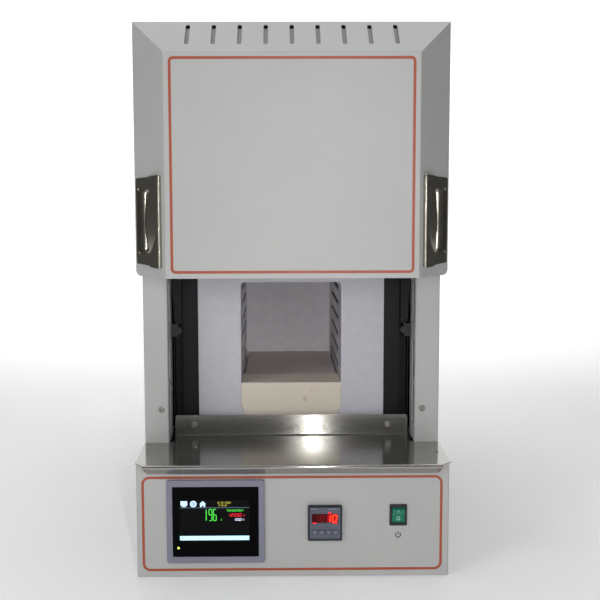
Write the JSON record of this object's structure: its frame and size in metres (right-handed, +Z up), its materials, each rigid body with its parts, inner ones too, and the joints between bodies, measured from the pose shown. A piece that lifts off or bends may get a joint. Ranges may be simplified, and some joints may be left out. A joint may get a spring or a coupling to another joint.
{
  "type": "muffle furnace",
  "caption": "Benchtop muffle furnace with a vertical-lift bevelled door, grooved heated chamber, brushed ledge and a control console.",
  "frame": {"origin": "bottom centre of the bounding box, on the surface the feet stand on, door raised", "axes": "+Z up, -Y towards the user (the door and the console face -Y), +X to the user's right"},
  "size_m": [0.4388, 0.61, 0.7736],
  "materials": {
    "cabinet_paint": "satin",
    "black_paint": "matte",
    "rod_chrome": "polished",
    "polished_steel": "polished",
    "brushed_steel": "satin",
    "black_nylon": "matte",
    "fibre_board": "matte",
    "hearth_ceramic": "matte",
    "hearth_refractory": "matte",
    "element_wire": "matte",
    "sheath_ceramic": "satin",
    "foot_rubber": "matte",
    "screen_plastic": "satin",
    "screen_glass": "gloss",
    "black_plastic": "satin",
    "controller_plastic": "satin",
    "red_lens": "gloss",
    "key_plastic": "satin",
    "green_rocker": "gloss",
    "orange_line": "satin",
    "screw_steel": "polished",
    "screen_marks": "gloss",
    "panel_ink": "matte"
  },
  "bodies": {
    "cabinet": {"base_pan": "cabinet_paint", "cable_gland": "black_nylon", "casing": "black_paint", "console_front": "cabinet_paint", "controller_case": "controller_plastic", "controller_lens": "red_lens", "deck_plate": "black_paint", "floor_board": "fibre_board", "foot_1": "foot_rubber", "foot_2": "foot_rubber", "foot_3": "foot_rubber", "foot_4": "foot_rubber", "front_board": "fibre_board", "guide_channel_left": "black_paint", "guide_channel_right": "black_paint", "hearth_plate": "hearth_refractory", "hearth_plug": "hearth_ceramic", "heater_panel_left": "fibre_board", "heater_panel_right": "fibre_board", "heating_element_left": "element_wire", "heating_element_right": "element_wire", "ledge": "brushed_steel", "rear_board": "fibre_board", "rear_panel": "cabinet_paint", "roof_board": "fibre_board", "screen_bezel": "screen_plastic", "screen_body": "black_plastic", "screen_glass": "screen_glass", "side_panel_left": "cabinet_paint", "side_panel_right": "cabinet_paint", "strut_cylinder_left": "black_paint", "strut_cylinder_right": "black_paint", "switch_body": "black_plastic", "thermocouple": "sheath_ceramic", "top_cover": "cabinet_paint"},
    "door": {"door_block": "fibre_board", "door_chassis": "black_paint", "door_shell": "cabinet_paint", "guide_shoe_left": "black_nylon", "guide_shoe_right": "black_nylon", "handle_dish_left": "polished_steel", "handle_dish_right": "polished_steel", "handle_grip_left": "polished_steel", "handle_grip_right": "polished_steel", "lift_arm_left": "black_paint", "lift_arm_right": "black_paint", "slider_left": "black_nylon", "slider_right": "black_nylon", "strut_rod_left": "rod_chrome", "strut_rod_right": "rod_chrome", "vent_baffle": "cabinet_paint"},
    "rocker": {"rocker": "green_rocker"},
    "key_1": {"controller_key_1": "key_plastic"},
    "key_2": {"controller_key_2": "key_plastic"},
    "key_3": {"controller_key_3": "key_plastic"},
    "key_4": {"controller_key_4": "key_plastic"}
  },
  "joints": [
    {"name": "door_lift", "type": "slide", "parent": "cabinet", "child": "door", "axis": [0, 0, 1], "range_m": [-0.254, 0]},
    {"name": "rocker_tip", "type": "hinge", "parent": "cabinet", "child": "rocker", "pos_m": [0.14785, -0.28, 0.08895], "axis": [1, 0, 0], "range_deg": [-12, 0]},
    {"name": "key_1_press", "type": "slide", "parent": "cabinet", "child": "key_1", "axis": [0, 1, 0], "range_m": [0, 0.0008], "stiffness_N_per_m": 400, "springref_m": -0.0005},
    {"name": "key_2_press", "type": "slide", "parent": "cabinet", "child": "key_2", "axis": [0, 1, 0], "range_m": [0, 0.0008], "stiffness_N_per_m": 400, "springref_m": -0.0005},
    {"name": "key_3_press", "type": "slide", "parent": "cabinet", "child": "key_3", "axis": [0, 1, 0], "range_m": [0, 0.0008], "stiffness_N_per_m": 400, "springref_m": -0.0005},
    {"name": "key_4_press", "type": "slide", "parent": "cabinet", "child": "key_4", "axis": [0, 1, 0], "range_m": [0, 0.0008], "stiffness_N_per_m": 400, "springref_m": -0.0005}
  ]
}
